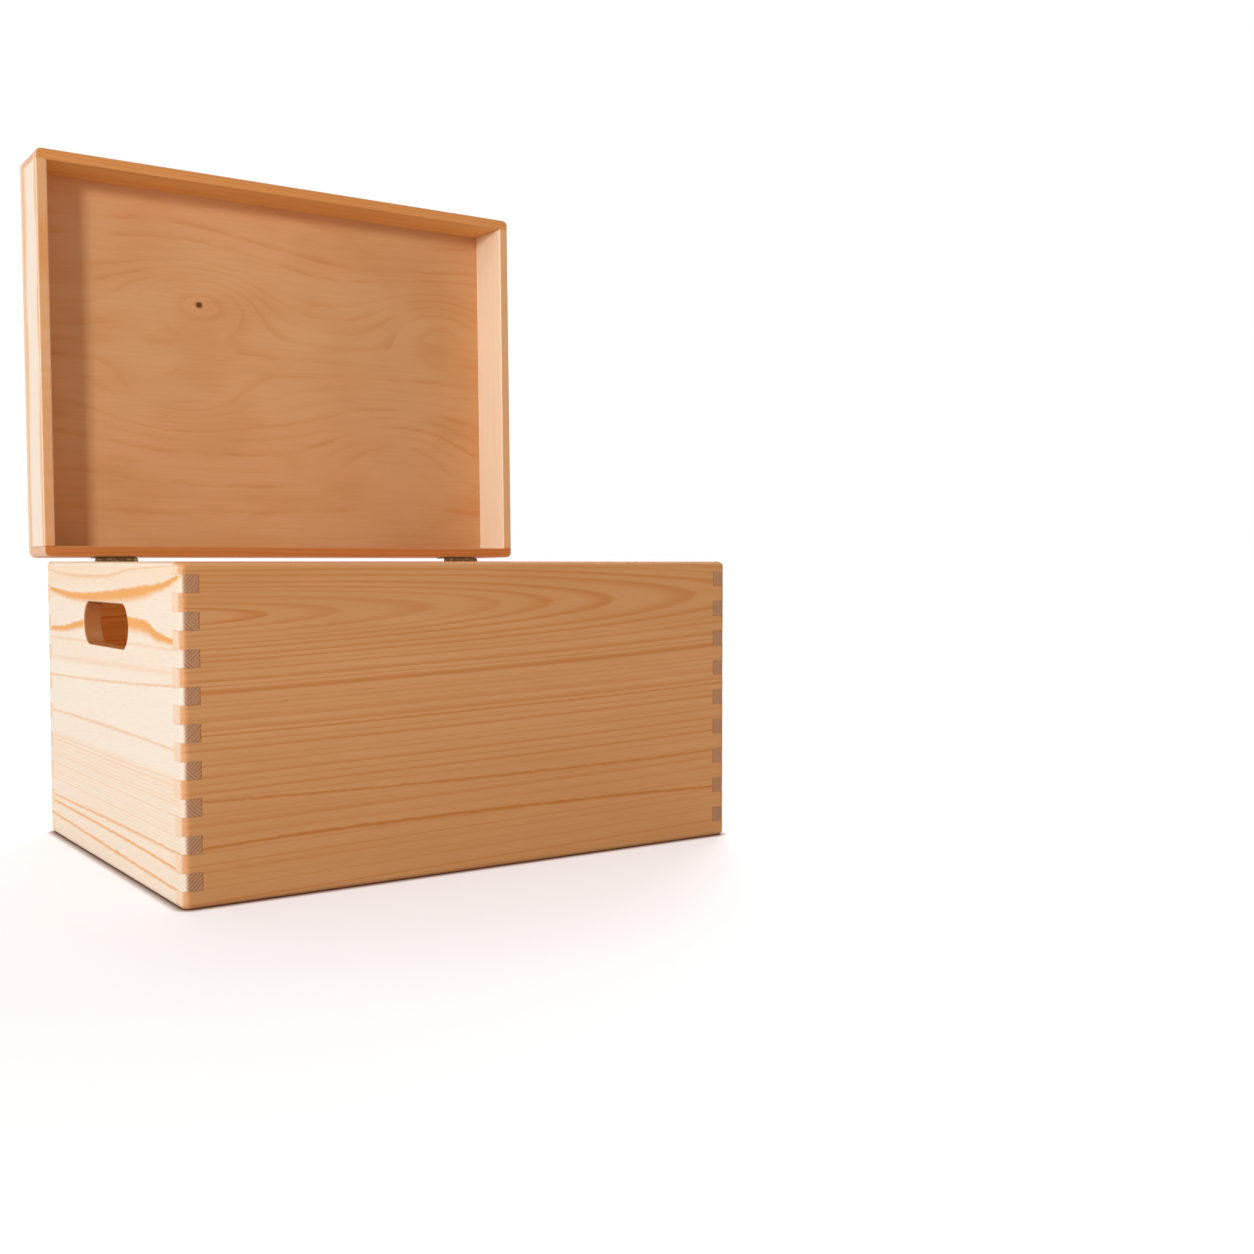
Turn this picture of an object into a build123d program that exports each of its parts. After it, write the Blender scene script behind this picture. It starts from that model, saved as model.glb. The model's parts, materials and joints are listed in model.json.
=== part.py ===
"""Hinged pine keepsake box.

A finger-jointed pine carcass with a handle cut-out in each end and a plywood bottom, and a
shallow tray lid on two surface-mounted stop hinges. The lid is modelled where it rests when the
box is open: leaning just past upright on the hinges' stop tabs.

Frame: origin at the centre of the underside, +X to the right along the front, +Y from the front
to the back, +Z up. All lengths are in millimetres.
"""

import os
from math import cos, radians, sin

from build123d import *

# --- Carcass ------------------------------------------------------------------------------------
box_length = 400.0  # X, over the side panels
box_depth = 300.0  # Y, over the front and back panels
body_height = 200.0  # Z, underside to rim
wall = 12.0  # board thickness
corner_round = 5.0  # upright corners
rim_round = 3.5  # outer edge of the rim
inner_rim_round = 1.5  # inner edge of the rim
base_round = 3.5  # outer edge of the underside
joint_gap = 0.1  # glue line between two pieces of wood

# --- Finger joints, counted up a corner: even fingers are front or back, odd ones are side ------
finger_count = 19
top_finger = 7.0  # the last finger was trimmed with the rim

# --- Handle cut-outs: straight above and below, bowed ends --------------------------------------
handle_height = 28.5
handle_straight = 78.0
handle_bow = 12.0  # how far each end bows past the straight part
handle_drop = 41.0  # rim to the middle of the hole
handle_corner_round = 3.0  # where a bowed end meets the straight part
handle_edge_round = 1.5

# --- Plywood bottom in a rebate, flush with the underside ---------------------------------------
bottom_thickness = 4.0
rebate_width = 6.0

# --- Lid ----------------------------------------------------------------------------------------
rail_thickness = 8.0
rail_depth = 42.0  # rim of the lid to the underside of its top panel
lid_panel_thickness = 8.0
lid_corner_round = 4.5
lid_edge_round = 2.8  # round-over of the top face
lid_rim_round = 1.2
seam_gap = 0.4  # between the two rims when the lid is shut
lid_open_angle = 91.0  # from shut, degrees

# --- Hinges -------------------------------------------------------------------------------------
hinge_inset = 52.0  # end of the box to the middle of the hinge
hinge_length = 30.0
knuckle_count = 5  # the first and every second one are the body leaf's
knuckle_gap = 0.2
knuckle_radius = 3.0
barrel_clearance = 0.4  # barrel to wood, and barrel to the other leaf
leaf_height = 18.0  # pin axis to the leaf's far edge
leaf_thickness = 1.0
leaf_corner_round = 3.0
stop_clearance = 0.7  # barrel to the inside of the curled stop tab
stop_gap = 0.3  # stop tab to the lid leaf that rests on it
pin_radius = 1.2
pin_running_clearance = 0.05
pin_fixed_clearance = 0.02
pin_head_radius = 2.0
pin_head_height = 0.7
pin_head_round = 0.5

# --- Screws -------------------------------------------------------------------------------------
screw_margin = 6.0  # from the ends and the far edge of a leaf to its two screws
screw_radius = 1.1
screw_head_radius = 2.0
screw_clearance = 0.05
body_screw_length = 10.0
lid_screw_length = 7.0
screw_point = 2.0
screw_tip_radius = 0.3
drive_length = 2.4
drive_width = 0.5
drive_depth = 0.5

# --- Derived places -----------------------------------------------------------------------------
finger_height = (body_height - top_finger) / (finger_count - 1)
side_fingers = [(n + 0.5) * finger_height for n in range(1, finger_count - 1, 2)]
half_length = box_length / 2
half_depth = box_depth / 2
handle_z = body_height - handle_drop
lid_height = rail_depth + lid_panel_thickness
axis_offset = knuckle_radius + barrel_clearance  # pin axis behind the rear faces
leaf_face = leaf_thickness - axis_offset  # outer face of a leaf, from the pin axis
screw_head_height = screw_head_radius - screw_radius  # a 90 degree countersink
open_angle = radians(lid_open_angle)

# The hinge axis, seen as the body has it and as the tilted lid has it. In both frames x runs
# along the pin, y to the rear of a shut box and z to its top.
body_hinge = Plane(origin=(0, half_depth + axis_offset, body_height + seam_gap / 2))
lid_hinge = Plane(origin=body_hinge.origin, x_dir=(1, 0, 0), z_dir=(0, sin(open_angle), cos(open_angle)))

# The lid's rim, centred on the lid.
lid_rim = Plane(
    origin=lid_hinge.from_local_coords((0, -axis_offset - half_depth, seam_gap / 2)),
    x_dir=lid_hinge.x_dir,
    z_dir=lid_hinge.z_dir,
)
lid_up = Axis(lid_rim.origin, lid_rim.z_dir)

os.makedirs("parts", exist_ok=True)


def save(piece, label):
    """Label a finished piece and write it."""
    piece.label = label
    export_step(piece, f"parts/{label}.step")


def screw_seats(hinge, centre_x, up):
    """Planes of a leaf's two screw heads; up is 1 on the lid leaf and -1 on the body leaf."""
    return [
        Plane(
            origin=hinge.from_local_coords((centre_x + dx, leaf_face, up * (leaf_height - screw_margin))),
            x_dir=hinge.x_dir,
            z_dir=hinge.y_dir,
        )
        for dx in (screw_margin - hinge_length / 2, hinge_length / 2 - screw_margin)
    ]


def screw_holes(seats, depth):
    """Countersunk holes for the screws, cut from the current piece."""
    with Locations(*seats):
        CounterSinkHole(
            radius=screw_radius + screw_clearance,
            counter_sink_radius=screw_head_radius + screw_clearance,
            depth=depth,
            counter_sink_angle=90,
        )


hinge_centres = {"left": hinge_inset - half_length, "right": half_length - hinge_inset}
body_seats = {side: screw_seats(body_hinge, x, -1) for side, x in hinge_centres.items()}
lid_seats = {side: screw_seats(lid_hinge, x, 1) for side, x in hinge_centres.items()}

# --- Carcass shell: the rounded outside, the inside and the rebate that all five panels share ---
with BuildPart() as body_shell:
    Box(box_length, box_depth, body_height, align=(Align.CENTER, Align.CENTER, Align.MIN))
    fillet(body_shell.edges().filter_by(Axis.Z), corner_round)
    fillet(body_shell.faces().sort_by(Axis.Z)[-1].edges(), rim_round)
    fillet(body_shell.faces().sort_by(Axis.Z)[0].edges(), base_round)
    Box(
        box_length - 2 * wall,
        box_depth - 2 * wall,
        body_height,
        align=(Align.CENTER, Align.CENTER, Align.MIN),
        mode=Mode.SUBTRACT,
    )
    fillet(body_shell.faces().sort_by(Axis.Z)[-1].inner_wires().edges(), inner_rim_round)
    Box(
        box_length - 2 * wall + 2 * rebate_width,
        box_depth - 2 * wall + 2 * rebate_width,
        bottom_thickness,
        align=(Align.CENTER, Align.CENTER, Align.MIN),
        mode=Mode.SUBTRACT,
    )

# --- Front panel: full length, notched at both ends for the side fingers ------------------------
with BuildPart() as front_panel:
    with BuildSketch(Plane.XZ.offset(half_depth)):
        Rectangle(box_length, body_height, align=(Align.CENTER, Align.MIN))
        for x in (wall / 2 - half_length, half_length - wall / 2):
            with Locations(*[(x, z) for z in side_fingers]):
                Rectangle(wall, finger_height, mode=Mode.SUBTRACT)
    extrude(amount=-wall)
    add(body_shell.part, mode=Mode.INTERSECT)
save(front_panel.part, "front_panel")

# --- Back panel: the front panel's mirror image, drilled for the hinge screws -------------------
with BuildPart() as back_panel:
    mirror(front_panel.part, about=Plane.XZ)
    for seats in body_seats.values():
        screw_holes(seats, body_screw_length + joint_gap)
save(back_panel.part, "back_panel")

# --- Side panels: fingers at both ends and a handle cut-out -------------------------------------
for side, outer_x in (("left", -half_length), ("right", half_length)):
    inward = wall if side == "left" else -wall
    with BuildPart() as side_panel:
        with BuildSketch(Plane.YZ.offset(outer_x)):
            Rectangle(
                box_depth - 2 * wall - 2 * joint_gap, body_height, align=(Align.CENTER, Align.MIN)
            )
            with Locations(*[(0, z) for z in side_fingers]):
                Rectangle(box_depth, finger_height - 2 * joint_gap)
        extrude(amount=inward)
        add(body_shell.part, mode=Mode.INTERSECT)
        with BuildSketch(Plane.YZ.offset(outer_x)):
            with BuildLine():
                top, bottom = handle_z + handle_height / 2, handle_z - handle_height / 2
                end, tip = handle_straight / 2, handle_straight / 2 + handle_bow
                Line((-end, top), (end, top))
                ThreePointArc((end, top), (tip, handle_z), (end, bottom))
                Line((end, bottom), (-end, bottom))
                ThreePointArc((-end, bottom), (-tip, handle_z), (-end, top))
            handle_outline = make_face()
            fillet(handle_outline.vertices(), handle_corner_round)
        extrude(amount=inward, mode=Mode.SUBTRACT)
        fillet(side_panel.edges(Select.LAST).filter_by(Axis.X, reverse=True), handle_edge_round)
    save(side_panel.part, f"{side}_side_panel")

# --- Bottom panel, let into the rebate ----------------------------------------------------------
with BuildPart() as bottom_panel:
    Box(
        box_length - 2 * (wall - rebate_width + joint_gap),
        box_depth - 2 * (wall - rebate_width + joint_gap),
        bottom_thickness - joint_gap,
        align=(Align.CENTER, Align.CENTER, Align.MIN),
    )
save(bottom_panel.part, "bottom_panel")

# --- Lid shell: the rounded outside and the hollow that the rails and the top panel share -------
with BuildPart() as lid_shell:
    with BuildSketch(lid_rim):
        RectangleRounded(box_length, box_depth, lid_corner_round)
    extrude(amount=lid_height)
    fillet(lid_shell.faces().sort_by(lid_up)[-1].edges(), lid_edge_round)
    with BuildSketch(lid_rim):
        Rectangle(box_length - 2 * rail_thickness, box_depth - 2 * rail_thickness)
    extrude(amount=rail_depth, mode=Mode.SUBTRACT)
    fillet(lid_shell.faces().sort_by(lid_up)[0].edges(), lid_rim_round)

# --- Front and rear rails run the full length; the rear one is drilled for the hinge screws -----
long_rail_y = half_depth - rail_thickness / 2
for label, y in (("lid_front_rail", -long_rail_y), ("lid_rear_rail", long_rail_y)):
    with BuildPart() as long_rail:
        with BuildSketch(lid_rim):
            with Locations((0, y)):
                Rectangle(box_length, rail_thickness)
        extrude(amount=rail_depth - joint_gap)
        add(lid_shell.part, mode=Mode.INTERSECT)
        if label == "lid_rear_rail":
            for seats in lid_seats.values():
                screw_holes(seats, lid_screw_length + joint_gap)
    save(long_rail.part, label)

# --- Side rails butt between the long ones ------------------------------------------------------
for label, x in (
    ("lid_left_rail", rail_thickness / 2 - half_length),
    ("lid_right_rail", half_length - rail_thickness / 2),
):
    with BuildPart() as side_rail:
        with BuildSketch(lid_rim):
            with Locations((x, 0)):
                Rectangle(rail_thickness, box_depth - 2 * rail_thickness - 2 * joint_gap)
        extrude(amount=rail_depth - joint_gap)
        add(lid_shell.part, mode=Mode.INTERSECT)
    save(side_rail.part, label)

# --- Top panel of the lid, over the rails -------------------------------------------------------
with BuildPart() as lid_top_panel:
    with BuildSketch(lid_rim.offset(rail_depth)):
        Rectangle(box_length, box_depth)
    extrude(amount=lid_panel_thickness)
    add(lid_shell.part, mode=Mode.INTERSECT)
save(lid_top_panel.part, "lid_top_panel")

# --- Hinge measures shared by both leaves -------------------------------------------------------
knuckle_pitch = hinge_length / knuckle_count
body_knuckles = range(0, knuckle_count, 2)
lid_knuckles = range(1, knuckle_count, 2)
tab_inner = knuckle_radius + stop_clearance
tab_outer = tab_inner + leaf_thickness
# Height of the open lid leaf's underside over the stop tab's far edge.
leaf_run = (tab_outer - cos(open_angle) * leaf_face) / sin(open_angle)
tab_top = -sin(open_angle) * leaf_face + cos(open_angle) * leaf_run - stop_gap


def section_plane(hinge, x):
    """Plane across the pin at x, with u to the rear and v up in the hinge's own frame."""
    return Plane(origin=hinge.from_local_coords((x, 0, 0)), x_dir=hinge.y_dir, z_dir=hinge.x_dir)


def hinge_leaf(hinge, start_x, up, other_knuckles, bore_clearance, seats):
    """A leaf with its knuckles; up is 1 for the lid leaf and -1 for the body leaf."""
    with BuildPart() as leaf:
        with BuildSketch(section_plane(hinge, start_x)):
            with Locations((leaf_face - leaf_thickness / 2, up * leaf_height / 2)):
                Rectangle(leaf_thickness, leaf_height)
            Circle(knuckle_radius)
        extrude(amount=hinge_length)
        far_edge = Axis(hinge.origin, up * hinge.z_dir)
        corners = leaf.edges().filter_by(Axis(hinge.origin, hinge.y_dir)).group_by(far_edge)[-1]
        fillet(corners, leaf_corner_round)
        # Clear the other leaf's knuckles, with a gap at each end.
        for n in other_knuckles:
            low = max(n * knuckle_pitch - knuckle_gap / 2, 0)
            high = min((n + 1) * knuckle_pitch + knuckle_gap / 2, hinge_length)
            with BuildSketch(section_plane(hinge, start_x + low)):
                Rectangle(2 * (axis_offset + barrel_clearance), 2 * (knuckle_radius + barrel_clearance))
            extrude(amount=high - low, mode=Mode.SUBTRACT)
        with BuildSketch(section_plane(hinge, start_x)):
            Circle(pin_radius + bore_clearance)
        extrude(amount=hinge_length, mode=Mode.SUBTRACT)
        screw_holes(seats, leaf_thickness)
    return leaf.part


for side, centre_x in hinge_centres.items():
    start_x = centre_x - hinge_length / 2
    middle_x = start_x + (knuckle_count // 2) * knuckle_pitch + knuckle_gap / 2

    # Body leaf: both end knuckles, and a tab that curls under the barrel and stops the lid.
    seats = body_seats[side]
    with BuildPart() as body_leaf:
        add(hinge_leaf(body_hinge, start_x, -1, lid_knuckles, pin_fixed_clearance, seats))
        with BuildSketch(section_plane(body_hinge, middle_x)):
            Circle(tab_outer)
            Circle(tab_inner, mode=Mode.SUBTRACT)
            with BuildLine():
                Polyline(
                    (-axis_offset, -tab_outer),
                    (tab_outer, -tab_outer),
                    (tab_outer, tab_top),
                    (0, tab_top),
                    (0, -knuckle_radius),
                    (-axis_offset, -knuckle_radius),
                    close=True,
                )
            make_face(mode=Mode.INTERSECT)
        extrude(amount=knuckle_pitch - knuckle_gap)
    save(body_leaf.part, f"{side}_hinge_body_leaf")

    # Lid leaf: the knuckles between them.
    seats = lid_seats[side]
    with BuildPart() as lid_leaf:
        add(hinge_leaf(lid_hinge, start_x, 1, body_knuckles, pin_running_clearance, seats))
    save(lid_leaf.part, f"{side}_hinge_lid_leaf")

    # Pin, peened over at both ends.
    with BuildPart() as hinge_pin:
        with BuildSketch(section_plane(body_hinge, start_x)):
            Circle(pin_radius)
        extrude(amount=hinge_length)
        for end_x, outward in ((start_x, -1), (start_x + hinge_length, 1)):
            with BuildSketch(section_plane(body_hinge, end_x)):
                Circle(pin_head_radius)
            extrude(amount=outward * pin_head_height)
            rim = hinge_pin.edges().group_by(Axis((0, 0, 0), (outward, 0, 0)))[-1]
            fillet(rim, pin_head_round)
    save(hinge_pin.part, f"{side}_hinge_pin")

    # Screws: countersunk heads with a cross drive, plain shanks and points.
    for part_name, seats, length in (
        ("body", body_seats[side], body_screw_length),
        ("lid", lid_seats[side], lid_screw_length),
    ):
        with BuildPart() as screws:
            with Locations(*seats):
                Cone(
                    screw_radius,
                    screw_head_radius,
                    screw_head_height,
                    align=(Align.CENTER, Align.CENTER, Align.MAX),
                )
                with Locations((0, 0, -screw_head_height)):
                    Cylinder(
                        screw_radius,
                        length - screw_head_height - screw_point,
                        align=(Align.CENTER, Align.CENTER, Align.MAX),
                    )
                with Locations((0, 0, screw_point - length)):
                    Cone(
                        screw_tip_radius,
                        screw_radius,
                        screw_point,
                        align=(Align.CENTER, Align.CENTER, Align.MAX),
                    )
                for angle in (0, 90):
                    Box(
                        drive_length,
                        drive_width,
                        drive_depth,
                        rotation=(0, 0, angle),
                        align=(Align.CENTER, Align.CENTER, Align.MAX),
                        mode=Mode.SUBTRACT,
                    )
        save(screws.part, f"{side}_hinge_{part_name}_screws")
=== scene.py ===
"""Looks of the keepsake box: wood, print, metal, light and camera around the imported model."""

import json
import math
import random
from collections import namedtuple

import bpy
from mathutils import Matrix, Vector


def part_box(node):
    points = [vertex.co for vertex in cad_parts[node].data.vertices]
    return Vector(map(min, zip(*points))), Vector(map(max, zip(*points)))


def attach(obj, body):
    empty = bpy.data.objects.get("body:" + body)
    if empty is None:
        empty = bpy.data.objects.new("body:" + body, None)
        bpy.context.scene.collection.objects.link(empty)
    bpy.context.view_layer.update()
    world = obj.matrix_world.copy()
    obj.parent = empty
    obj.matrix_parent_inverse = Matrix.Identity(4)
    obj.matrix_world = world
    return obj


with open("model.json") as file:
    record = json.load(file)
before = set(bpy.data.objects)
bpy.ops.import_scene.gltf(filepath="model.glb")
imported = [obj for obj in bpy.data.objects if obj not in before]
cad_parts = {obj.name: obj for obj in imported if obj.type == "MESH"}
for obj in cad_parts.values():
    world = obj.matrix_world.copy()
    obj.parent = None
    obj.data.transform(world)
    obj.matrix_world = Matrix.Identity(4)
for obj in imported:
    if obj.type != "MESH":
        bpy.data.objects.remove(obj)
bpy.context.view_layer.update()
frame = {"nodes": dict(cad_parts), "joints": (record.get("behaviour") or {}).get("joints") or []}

nodes = frame["nodes"]
MM = 0.001


def put(name, data):
    """A new object, linked to the scene."""
    placed = bpy.data.objects.new(name, data)
    bpy.context.collection.objects.link(placed)
    return placed


# --- Camera: fitted to the box's own edges, 1254 x 1254 pixels ---
IMAGE_SIDE = 1254
FOCAL_PIXELS = 1430.5
SENSOR = 36.0
CAMERA_PLACE = (-0.4625, -0.9575, 0.2010)
CAMERA_YAW = 35.418  # degrees to the right of +Y
CAMERA_PITCH = 2.674  # degrees down


def make_camera():
    data = bpy.data.cameras.new("camera")
    data.sensor_width = SENSOR
    data.lens = SENSOR * FOCAL_PIXELS / IMAGE_SIDE
    camera = put("camera", data)
    camera.location = CAMERA_PLACE
    camera.rotation_euler = (math.radians(90 - CAMERA_PITCH), 0, math.radians(-CAMERA_YAW))
    bpy.context.scene.camera = camera


# --- Node trees ---
class Tree:
    """A node tree, written as nested calls. A socket takes another socket, a number or a colour."""

    def __init__(self, owner):
        owner.use_nodes = True
        self.nodes = owner.node_tree.nodes
        self.links = owner.node_tree.links
        self.nodes.clear()

    def feed(self, socket, value):
        if isinstance(value, bpy.types.NodeSocket):
            self.links.new(value, socket)
        elif value is not None:
            opaque = socket.type == "RGBA" and len(value) == 3
            socket.default_value = (*value, 1) if opaque else value

    def node(self, kind, values, output=0, **settings):
        """Add a node; the result is one of its outputs, or the node itself if output is None."""
        node = self.nodes.new("ShaderNode" + kind)
        for key, value in settings.items():
            setattr(node, key, value)
        for key, value in values.items():
            self.feed(node.inputs[key], value)
        return node if output is None else node.outputs[output]

    def math(self, operation, a, b=None, c=None):
        return self.node("Math", {0: a, 1: b, 2: c}, operation=operation)

    def times(self, a, b):
        return self.math("MULTIPLY", a, b)

    def times_add(self, a, b, c):
        """a * b + c"""
        return self.math("MULTIPLY_ADD", a, b, c)

    def minus(self, a, b):
        return self.math("SUBTRACT", a, b)

    def vector(self, operation, a, b=None):
        output = "Value" if operation in ("DOT_PRODUCT", "LENGTH") else "Vector"
        return self.node("VectorMath", {0: a, 1: b}, output, operation=operation)

    def place(self, *axes):
        """Where a texture is read: each axis is a value or (value, factor) or (value, factor, shift)."""
        spots = {}
        for number, axis in enumerate(axes):
            if isinstance(axis, tuple):
                axis = self.times_add(*axis) if len(axis) == 3 else self.times(*axis)
            spots[number] = axis
        return self.node("CombineXYZ", spots)

    def smooth(self, value, low, high, to_low=0.0, to_high=1.0):
        """Smooth step from to_low at low to to_high at high."""
        values = {0: value, 1: low, 2: high, 3: to_low, 4: to_high}
        return self.node("MapRange", values, interpolation_type="SMOOTHSTEP")

    def fall(self, value, low, high):
        """Smooth step from 1 at low to 0 at high."""
        return self.smooth(value, low, high, 1.0, 0.0)

    def pulse(self, value, rise, full, fall):
        """0 up to rise, 1 from full to fall, and 0 again at 1."""
        return self.times(self.smooth(value, rise, full), self.fall(value, fall, 1.0))

    def linear(self, value, low, high, to_low, to_high):
        return self.node("MapRange", {0: value, 1: low, 2: high, 3: to_low, 4: to_high})

    def level(self, noise, low, high):
        """The useful range of a noise, 0.3 to 0.7, as low to high."""
        return self.linear(noise, 0.3, 0.7, low, high)

    def noise(self, at, detail=2.0, roughness=0.5, output=0):
        values = {"Vector": at, "Scale": 1.0, "Detail": detail, "Roughness": roughness}
        return self.node("TexNoise", values, output)

    def random(self, at, low, high=1.0):
        """A value of its own from low to high for every at."""
        return self.linear(self.node("TexWhiteNoise", {"W": at}, noise_dimensions="1D"), 0, 1, low, high)

    def mix(self, factor, a, b, blend="MIX"):
        values = {0: factor, 6: a, 7: b}
        return self.node("Mix", values, 2, data_type="RGBA", blend_type=blend)

    def tint(self, colour, factor, shade):
        """Multiply a colour by a shade, as far as factor says."""
        return self.mix(factor, colour, shade, "MULTIPLY")

    def curve(self, value, points, low, high):
        """A smooth curve through (value, result) points; results lie from low to high."""
        start, end = points[0][0], points[-1][0]
        node = self.node("FloatCurve", {1: self.linear(value, start, end, 0, 1)}, None)
        line = node.mapping.curves[0]
        places = [((at - start) / (end - start), (result - low) / (high - low)) for at, result in points]
        line.points[0].location = places[0]
        line.points[1].location = places[-1]
        for place in places[1:-1]:
            line.points.new(*place)
        node.mapping.update()
        return self.linear(node.outputs[0], 0, 1, low, high)


class Finish(Tree):
    """The node tree of a material with one principled shader."""

    def __init__(self, name):
        self.material = bpy.data.materials.new(name)
        super().__init__(self.material)
        self.bsdf = self.node("BsdfPrincipled", {}, None)
        self.output = self.node("OutputMaterial", {"Surface": self.bsdf.outputs[0]}, None)

    def shade(self, colour, roughness, specular):
        values = {"Base Color": colour, "Roughness": roughness, "Specular IOR Level": specular}
        for name, value in values.items():
            self.feed(self.bsdf.inputs[name], value)

    def bump(self, height, distance, strength):
        values = {"Height": height, "Distance": distance, "Strength": strength}
        self.feed(self.bsdf.inputs["Normal"], self.node("Bump", values))


# --- Boards ---
# Where a board lies: a point on its outer face, its grain, the way across that face, and inward.
Board = namedtuple("Board", "origin along across inward")

hinge = frame["joints"][0]
HINGE_POINT = Vector(hinge["pos_m"])
OPEN_ANGLE = math.radians(hinge["range_deg"][1])
X = Vector((1, 0, 0))
Y = Vector((0, 1, 0))
Z = Vector((0, 0, 1))
LID_Y = Vector((0, math.cos(OPEN_ANGLE), -math.sin(OPEN_ANGLE)))  # front to rear of the lid
LID_Z = Vector((0, math.sin(OPEN_ANGLE), math.cos(OPEN_ANGLE)))  # rim to top of the lid

HALF_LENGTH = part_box("front_panel")[1].x
HALF_DEPTH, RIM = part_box("left_side_panel")[1].yz
RIM_GAP = HINGE_POINT.z - RIM
FINGER_COUNT = 19  # up a corner; the top one is trimmed with the rim
TOP_FINGER = 7.0
FINGER = (RIM / MM - TOP_FINGER) / (FINGER_COUNT - 1)  # height of one finger in millimetres


def lid_span(node, axis):
    """Lowest and highest reach of a lid node along an axis, measured from the hinge pin."""
    reach = [(vertex.co - HINGE_POINT).dot(axis) for vertex in nodes[node].data.vertices]
    return min(reach), max(reach)


lid_top = lid_span("lid_top_panel", LID_Z)[1]
lid_low, lid_high = lid_span("lid_top_panel", LID_Y)
LID_CENTRE = HINGE_POINT + (lid_low + lid_high) / 2 * LID_Y + RIM_GAP * LID_Z  # on the rim
LID_HALF_DEPTH = (lid_high - lid_low) / 2
LID_FACE = LID_CENTRE + (lid_top - RIM_GAP) * LID_Z  # middle of the top face

boards = {
    "front_panel": Board(-HALF_DEPTH * Y, X, Z, Y),
    "back_panel": Board(HALF_DEPTH * Y, X, Z, -Y),
    "left_side_panel": Board(-HALF_LENGTH * X, Y, Z, X),
    "right_side_panel": Board(HALF_LENGTH * X, Y, Z, -X),
    "bottom_panel": Board(Vector((0, 0, 0)), X, Y, Z),
    "lid_front_rail": Board(LID_CENTRE - LID_HALF_DEPTH * LID_Y, X, LID_Z, LID_Y),
    "lid_rear_rail": Board(LID_CENTRE + LID_HALF_DEPTH * LID_Y, X, LID_Z, -LID_Y),
    "lid_left_rail": Board(LID_CENTRE - HALF_LENGTH * X, LID_Y, LID_Z, X),
    "lid_right_rail": Board(LID_CENTRE + HALF_LENGTH * X, LID_Y, LID_Z, -X),
    "lid_top_panel": Board(LID_FACE, X, LID_Y, -LID_Z),
}


def board_coordinates(t, board):
    """Millimetres along the grain, across the face and inward from it."""
    offset = t.vector("SUBTRACT", t.node("TexCoord", {}, "Object"), board.origin)
    return [t.times(t.vector("DOT_PRODUCT", offset, axis), 1 / MM) for axis in board[1:]]


def dress(node, material):
    """Give a CAD node its finish."""
    slots = nodes[node].data.materials
    slots.clear()
    slots.append(material)


def facing(t, axis):
    """How squarely a face lies across an axis, 0 to 1."""
    normal = t.node("TexCoord", {}, "Normal")
    return t.math("ABSOLUTE", t.vector("DOT_PRODUCT", normal, axis))


def gaussian(t, along, across, centre):
    """A bump of height 1 at (along, across), falling off over (reach along, reach across)."""
    at_along, at_across, reach_along, reach_across = centre
    a = t.times(t.minus(along, at_along), 1 / reach_along)
    b = t.times(t.minus(across, at_across), 1 / reach_across)
    squares = t.times_add(a, a, t.times(b, b))
    return t.math("EXPONENT", t.times(squares, -1.0))


# --- Pine ---
# Rings are cylinders round a pith that lies at (across, inward) millimetres in the board's frame.
PINE = dict(
    pith=(160.0, 60.0),
    tilt=(0.0, 0.0),  # drift of the pith, across and inward, per millimetre of grain
    ring_gap=3.0,  # between rings at the pith
    tighten=1.0,  # below 1 the rings spread outward, above 1 they crowd
    lines=((0, 1.0), (200, 1.0)),  # strength of the ring lines by the distance across
    warmth=((0, 0.4), (200, 0.4)),  # how far the tone goes from early to warm, likewise
    bands=(),  # broad late-wood bands: (strength, ((along, across, width), ...))
    wobble=3.0,
    seed=0.0,
    early=(0.93, 0.82, 0.70),
    warm=(0.93, 0.74, 0.56),
    late=(0.86, 0.40, 0.105),
    end_early=(0.60, 0.34, 0.19),
    end_late=(0.42, 0.19, 0.09),
    cut=None,  # lowest and highest reach of the handle cut-out, across
    # the cut-out's wall: its darker cut surface, with painted shade
    cut_wall_painted_shade=(0.50, 0.19, 0.055),
    edge=(0.92, 0.68, 0.46),
    rim=(1.0, 0.84, 0.66),  # shade of the faces that lie across the board
    inner=(1.0, 1.0, 1.0),  # painted light and shade of the inner face, as a tint
    thickness=12.0,
    roughness=0.56,
)
END_RING_GAP = 2.4  # between rings on end grain
END_MIDDLE = 6.0  # depth at which they meet
WOOD_SPECULAR = 0.22
CUT_FADE = (90, 100)  # from the middle along the grain, past the cut-out


def ring_field(t, look, along, across, inward):
    """Distance from the pith, with the slow wander of real rings."""
    slow = t.place((along, 1 / 170, look["seed"]), (across, 1 / 60), (inward, 1 / 60))
    wander = t.node("SeparateXYZ", {0: t.noise(slow, 2.0, 0.45, 1)}, None).outputs
    from_pith = []
    for value, place, tilt, channel in zip((across, inward), look["pith"], look["tilt"], (0, 1)):
        drift = t.times_add(along, tilt, place - look["wobble"])
        drift = t.times_add(wander[channel], 2 * look["wobble"], drift)
        from_pith.append(t.minus(value, drift))
    squares = t.times(from_pith[0], from_pith[0])
    return t.math("SQRT", t.times_add(from_pith[1], from_pith[1], squares))


def late_band(t, along, across, strength, places, seed):
    """A broad band of late wood along a curve: it darkens slowly and ends sharply."""
    spots, middles, widths = zip(*places)
    centre = t.curve(along, [*zip(spots, middles)], min(middles) - 1, max(middles) + 1)
    width = t.curve(along, [*zip(spots, widths)], 0.0, max(widths) + 0.5)
    ragged = t.place((along, 1 / 9), (across, 1 / 4), seed)
    centre = t.times_add(t.noise(ragged, 3.0, 0.6), 2.4, t.minus(centre, 1.2))
    away = t.math("DIVIDE", t.minus(across, centre), width)
    mask = t.times(t.smooth(away, -0.55, 0.05), t.fall(away, 0.3, 0.55))
    return t.times(mask, strength)


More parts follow.
